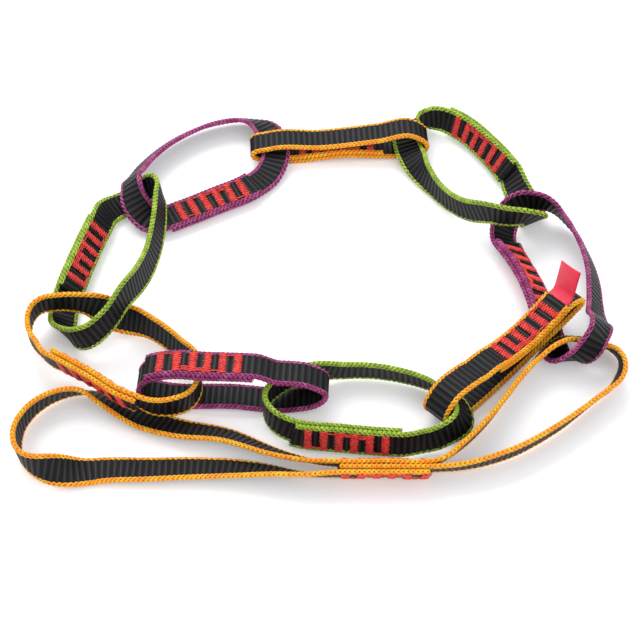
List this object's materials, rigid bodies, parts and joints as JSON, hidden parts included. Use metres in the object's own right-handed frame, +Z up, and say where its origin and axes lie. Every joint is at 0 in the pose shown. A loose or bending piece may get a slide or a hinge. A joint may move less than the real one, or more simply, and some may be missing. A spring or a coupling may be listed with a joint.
{
  "type": "climbing daisy chain",
  "caption": "Chain of sewn flat-webbing loops, each passed through the one before, with a long two-lobed tie-in loop at one end and a small tab at the other, lying loosely coiled.",
  "frame": {"origin": "middle of the whole part's bounds, at the floor it lies on", "axes": "+Z up, +X along the tie-in loop towards the end that the first link hangs on, +Y away from the tie-in loop towards the rest of the chain"},
  "size_m": [0.2558, 0.2238, 0.0368],
  "materials": {
    "orange_webbing": "woven black face with orange edges",
    "purple_webbing": "woven black face with purple edges",
    "green_webbing": "woven black face with green edges",
    "tack_thread": "dense red stitching",
    "label_cloth": "satin"
  },
  "bodies": {
    "tie_in_loop": {"tie_in_webbing": "orange_webbing", "tie_in_tacks": "tack_thread"},
    "link_1": {"link_1_webbing": "purple_webbing", "link_1_tacks": "tack_thread"},
    "link_2": {"link_2_webbing": "green_webbing", "link_2_tacks": "tack_thread"},
    "link_3": {"link_3_webbing": "orange_webbing", "link_3_tacks": "tack_thread"},
    "link_4": {"link_4_webbing": "purple_webbing", "link_4_tacks": "tack_thread"},
    "link_5": {"link_5_webbing": "green_webbing", "link_5_tacks": "tack_thread"},
    "link_6": {"link_6_webbing": "orange_webbing", "link_6_tacks": "tack_thread"},
    "link_7": {"link_7_webbing": "purple_webbing", "link_7_tacks": "tack_thread"},
    "link_8": {"link_8_webbing": "green_webbing", "link_8_tacks": "tack_thread"},
    "link_9": {"link_9_webbing": "orange_webbing", "link_9_tacks": "tack_thread", "label_tab": "label_cloth"}
  },
  "joints": [
    {"name": "link_1_swing", "type": "hinge", "parent": "tie_in_loop", "child": "link_1", "pos_m": [0.1084, -0.0319, 0.0074], "axis": [0.5391, -0.043, -0.8411], "range_deg": [0, 15]},
    {"name": "link_2_swing", "type": "hinge", "parent": "link_1", "child": "link_2", "pos_m": [0.0871, 0.0368, 0.0145], "axis": [-0.9799, -0.145, 0.137], "range_deg": [0, 45]},
    {"name": "link_3_swing", "type": "hinge", "parent": "link_2", "child": "link_3", "pos_m": [0.0456, 0.0845, 0.0138], "axis": [-0.2539, -0.035, -0.9666], "range_deg": [0, 25]},
    {"name": "link_4_swing", "type": "hinge", "parent": "link_3", "child": "link_4", "pos_m": [-0.0279, 0.0866, 0.0049], "axis": [-0.377, -0.458, -0.805], "range_deg": [0, 20]},
    {"name": "link_5_swing", "type": "hinge", "parent": "link_4", "child": "link_5", "pos_m": [-0.0855, 0.0459, 0.0043], "axis": [-0.9218, -0.267, -0.281], "range_deg": [0, 45]},
    {"name": "link_6_swing", "type": "hinge", "parent": "link_5", "child": "link_6", "pos_m": [-0.1066, -0.0206, 0.0106], "axis": [-0.9935, 0, -0.1141], "range_deg": [0, 35]},
    {"name": "link_7_swing", "type": "hinge", "parent": "link_6", "child": "link_7", "pos_m": [-0.0589, -0.0688, 0.011], "axis": [-0.4242, -0.8624, -0.2761], "range_deg": [0, 40]},
    {"name": "link_8_swing", "type": "hinge", "parent": "link_7", "child": "link_8", "pos_m": [-0.0166, -0.0679, 0.0162], "axis": [-0.317, -0.623, 0.7151], "range_deg": [0, 30]},
    {"name": "link_9_swing", "type": "hinge", "parent": "link_8", "child": "link_9", "pos_m": [0.0601, -0.0783, 0.0094], "axis": [0.2961, -0.8523, 0.4312], "range_deg": [0, 45]}
  ]
}
